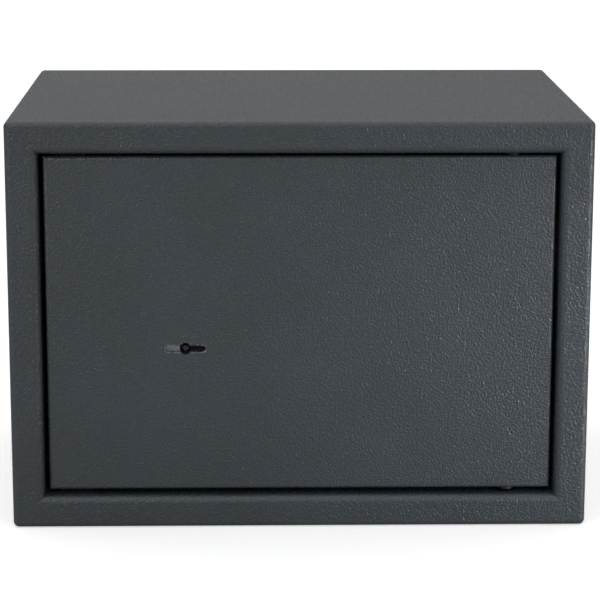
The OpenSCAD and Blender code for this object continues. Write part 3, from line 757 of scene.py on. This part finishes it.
# Overlapping drops along the edges of a mesh, as a hand-held torch leaves them
weldBead, given = newGroup("weldBead", {
    "Bead Radius": ("NodeSocketFloat", 1.4 * mm), "Pitch": ("NodeSocketFloat", 1.0 * mm),
    "Unevenness": ("NodeSocketFloat", 0.16), "Seed": ("NodeSocketInt", 7), "Material": ("NodeSocketMaterial", None)})
tree = weldBead
path = addNode(tree, "GeometryNodeMeshToCurve", {}, {"Mesh": given["Geometry"]}).outputs[0]
spaced = addNode(tree, "GeometryNodeResampleCurve", {"mode": "LENGTH"}, {"Curve": path, "Length": given["Pitch"]})
drop = addNode(tree, "GeometryNodeMeshUVSphere", {"Segments": 12, "Rings": 7}, {"Radius": given["Bead Radius"]})
rounded = addNode(tree, "GeometryNodeSetShadeSmooth", {}, {"Geometry": drop.outputs["Mesh"]}).outputs[0]
low = addNode(tree, "ShaderNodeMath", {"operation": "SUBTRACT", 0: 1.0}, {1: given["Unevenness"]}).outputs[0]
high = addNode(tree, "ShaderNodeMath", {"operation": "ADD", 0: 1.0}, {1: given["Unevenness"]}).outputs[0]
size = addNode(tree, "FunctionNodeRandomValue", {"data_type": "FLOAT"},
               {"Min": low, "Max": high, "Seed": given["Seed"]})
laid = addNode(tree, "GeometryNodeInstanceOnPoints", {},
               {"Points": spaced.outputs[0], "Instance": rounded, "Scale": socketOf(size.outputs, "Value")}).outputs[0]
endGroup(tree, laid, given["Material"])


def welds(name, body, lines, radius, seed):
    piece = meshPiece(name, [p for line in lines for p in line], [], [(2 * i, 2 * i + 1) for i in range(len(lines))])
    runGroup(piece, weldBead, {"Bead Radius": radius, "Pitch": radius * 0.7, "Seed": seed,
                               "Material": finishes["powderCoat"]})
    settle(piece, body, "powderCoat", "paint")


# Short runs of weld, evenly spread between two points
def tacks(start, end, count, length):
    start, end = Vector(start), Vector(end)
    along = (end - start).normalized()
    middles = [start + (end - start) * ((i + 0.5) / count) for i in range(count)]
    return [(middle - along * length / 2, middle + along * length / 2) for middle in middles]


seam = {"x": halfWidth - sheet - 0.4 * mm, "low": sheet + 0.4 * mm, "high": 2 * midHeight - sheet - 0.4 * mm,
        "y": backBox[0][1] - 0.4 * mm, "tack": 16 * mm}
bodyLines = (tacks((-seam["x"], seam["y"], seam["high"]), (seam["x"], seam["y"], seam["high"]), 5, seam["tack"])
             + tacks((-seam["x"], seam["y"], seam["low"]), (-seam["x"], seam["y"], seam["high"]), 3, seam["tack"])
             + tacks((seam["x"], seam["y"], seam["low"]), (seam["x"], seam["y"], seam["high"]), 3, seam["tack"]))
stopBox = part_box("door_stops")
for z in (stopBox[0][2] + 0.1 * mm, stopBox[1][2] - 0.1 * mm):
    start = (stopBox[0][0] + 2 * mm, stopBox[1][1] + 0.1 * mm, z)
    bodyLines += tacks(start, (stopBox[1][0] - 2 * mm, start[1], z), 2, 5 * mm)
welds("bodyWelds", "cabinet", bodyLines, 1.3 * mm, 7)
doorLines = []
for level in ("upper", "lower"):
    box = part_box("hinge_bracket_" + level)
    x, y = box[0][0] + 15 * mm + 0.2 * mm, box[0][1] + 0.2 * mm
    below, above = (5 * mm, 2 * mm) if level == "lower" else (2 * mm, 5 * mm)
    doorLines += tacks((x, y, box[0][2] + below), (x, y, box[1][2] - above), 2, 9 * mm)
welds("doorWelds", "door", doorLines, 1.2 * mm, 3)
print("welds made")

matShape = {"edge": 0.9 * mm, "voxel": 1.7 * mm, "lumps": 0.22 * mm, "hole": 12 * mm}
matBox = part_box("floor_mat")
matOutlines = [[(matBox[i][0], matBox[j][1]) for i, j in ((0, 0), (1, 0), (1, 1), (0, 1))]]
matOutlines += [roundHole(x, 0, matShape["hole"]) for x in anchorPlaces]
mat = plate("floorMat", matOutlines, matBox[0][2], matBox[1][2] - matShape["lumps"], matShape["edge"], lying=True)
remesh = mat.modifiers.new("mesh", "REMESH")
remesh.mode, remesh.voxel_size = "VOXEL", matShape["voxel"]
bake(mat)
for v in mat.data.vertices:
    if v.co.z > (matBox[0][2] + matBox[1][2]) / 2:
        v.co.z += matShape["lumps"] * (0.6 * noise.noise(v.co * 260) + 0.4 * noise.noise(v.co * 40))
    v.co.z = min(max(v.co.z, matBox[0][2]), matBox[1][2])
settle(smooth(mat, 70, weighted=False), "cabinet", "needleFelt", "felt", "floor_mat")
print("mat made")

eye = {"place": (-0.029, -1.485, 0.446), "turn": (77.41, -0.09, -1.20), "lens": 139.6, "sensor": 36}
cameraData = bpy.data.cameras.new("camera")
camera = bpy.data.objects.new("camera", cameraData)
bpy.context.scene.collection.objects.link(camera)
camera.location = eye["place"]
camera.rotation_euler = [math.radians(a) for a in eye["turn"]]
cameraData.lens, cameraData.sensor_width = eye["lens"], eye["sensor"]
bpy.context.scene.camera = camera

far = 30     # the floor reaches past anything seen
floor = meshPiece("floor", [(-far, -far, 0), (far, -far, 0), (far, far, 0), (-far, far, 0)], [(0, 1, 2, 3)])
tree, shader, place = newFinish("paleFloor", "#f2f2f2", 0.0, 0.9)
shader.inputs["Emission Color"].default_value = linear("#ffffff")
shown = addNode(tree, "ShaderNodeLightPath").outputs["Is Camera Ray"]     # white to look at, greyer as a light source
glow = addNode(tree, "ShaderNodeMix", {"data_type": "FLOAT", 2: 0.0, 3: 0.42}, {0: shown}).outputs[0]
tones = {"data_type": "RGBA", 6: linear("#c6c8ca"), 7: linear("#f2f2f2")}
tone = addNode(tree, "ShaderNodeMix", tones, {0: shown}).outputs[2]
tree.links.new(glow, shader.inputs["Emission Strength"])
tree.links.new(tone, shader.inputs["Base Color"])
floor.data.materials.append(finishes["paleFloor"])

world = bpy.data.worlds.new("studio")
bpy.context.scene.world = world
world.use_nodes = True
sky = world.node_tree
place = addNode(sky, "ShaderNodeTexCoord").outputs["Generated"]
height = addNode(sky, "ShaderNodeSeparateXYZ", {}, {0: place}).outputs["Z"]
level = remap(sky, height, 0.08, 1.24, 0.0, 1.0)     # dim at the horizon, bright overhead
seen = addNode(sky, "ShaderNodeLightPath").outputs["Is Camera Ray"]
strength = addNode(sky, "ShaderNodeMix", {"data_type": "FLOAT", 3: 1.0}, {0: seen, 2: level}).outputs[0]
sky.links.new(strength, sky.nodes["Background"].inputs["Strength"])
sky.nodes["Background"].inputs["Color"].default_value = (1, 1, 1, 1)


def softbox(name, place, target, width, height, watts, spread):
    light = bpy.data.lights.new(name, "AREA")
    light.shape, light.size, light.size_y, light.energy = "RECTANGLE", width, height, watts
    light.spread = math.radians(spread)
    box = bpy.data.objects.new(name, light)
    bpy.context.scene.collection.objects.link(box)
    box.location = place
    box.rotation_euler = (Vector(target) - Vector(place)).to_track_quat("-Z", "Y").to_euler()


# All have honeycomb grids: the right one brings out the grain at the right, the left one skims the upper left,
# the low one fills the door's lower half, and the strip, too low to reach the top, lines the right fold
softbox("keyRight", (0.8, -1.2, 0.24), (0.19, -0.12, 0.12), 0.28, 0.34, 0.065, 26)
softbox("fillLeft", (-0.75, -1.25, 0.75), (-0.12, -0.12, 0.2), 0.4, 0.3, 0.105, 40)
softbox("fillLow", (-0.95, -1.2, 0.3), (-0.14, -0.12, 0.08), 0.9, 0.5, 0.175, 50)
softbox("stripRight", (1.14, -0.95, 0.1), (0.175, -0.12, 0.1), 0.06, 0.2, 0.12, 20)
bpy.context.scene.view_settings.view_transform = "Standard"

# The CAD nodes that show as they are, such as levers, springs and studs, get the finish of their slot
looks = {"zinc": "zincPlate", "steel": "rolledSteel", "brass": "stampedBrass", "chrome": "nickelPlate",
         "nylon": "mouldedAcetal", "felt": "needleFelt", "paint": "powderCoat", "paint_inner": "satinEnamel"}
slotOfNode = {part["node"]: part["material_slot"] for part in frame["record"]["subparts"]}
for name, node in frame["nodes"].items():
    for slot in node.material_slots:
        slot.material = finishes[looks[slotOfNode[name]]]
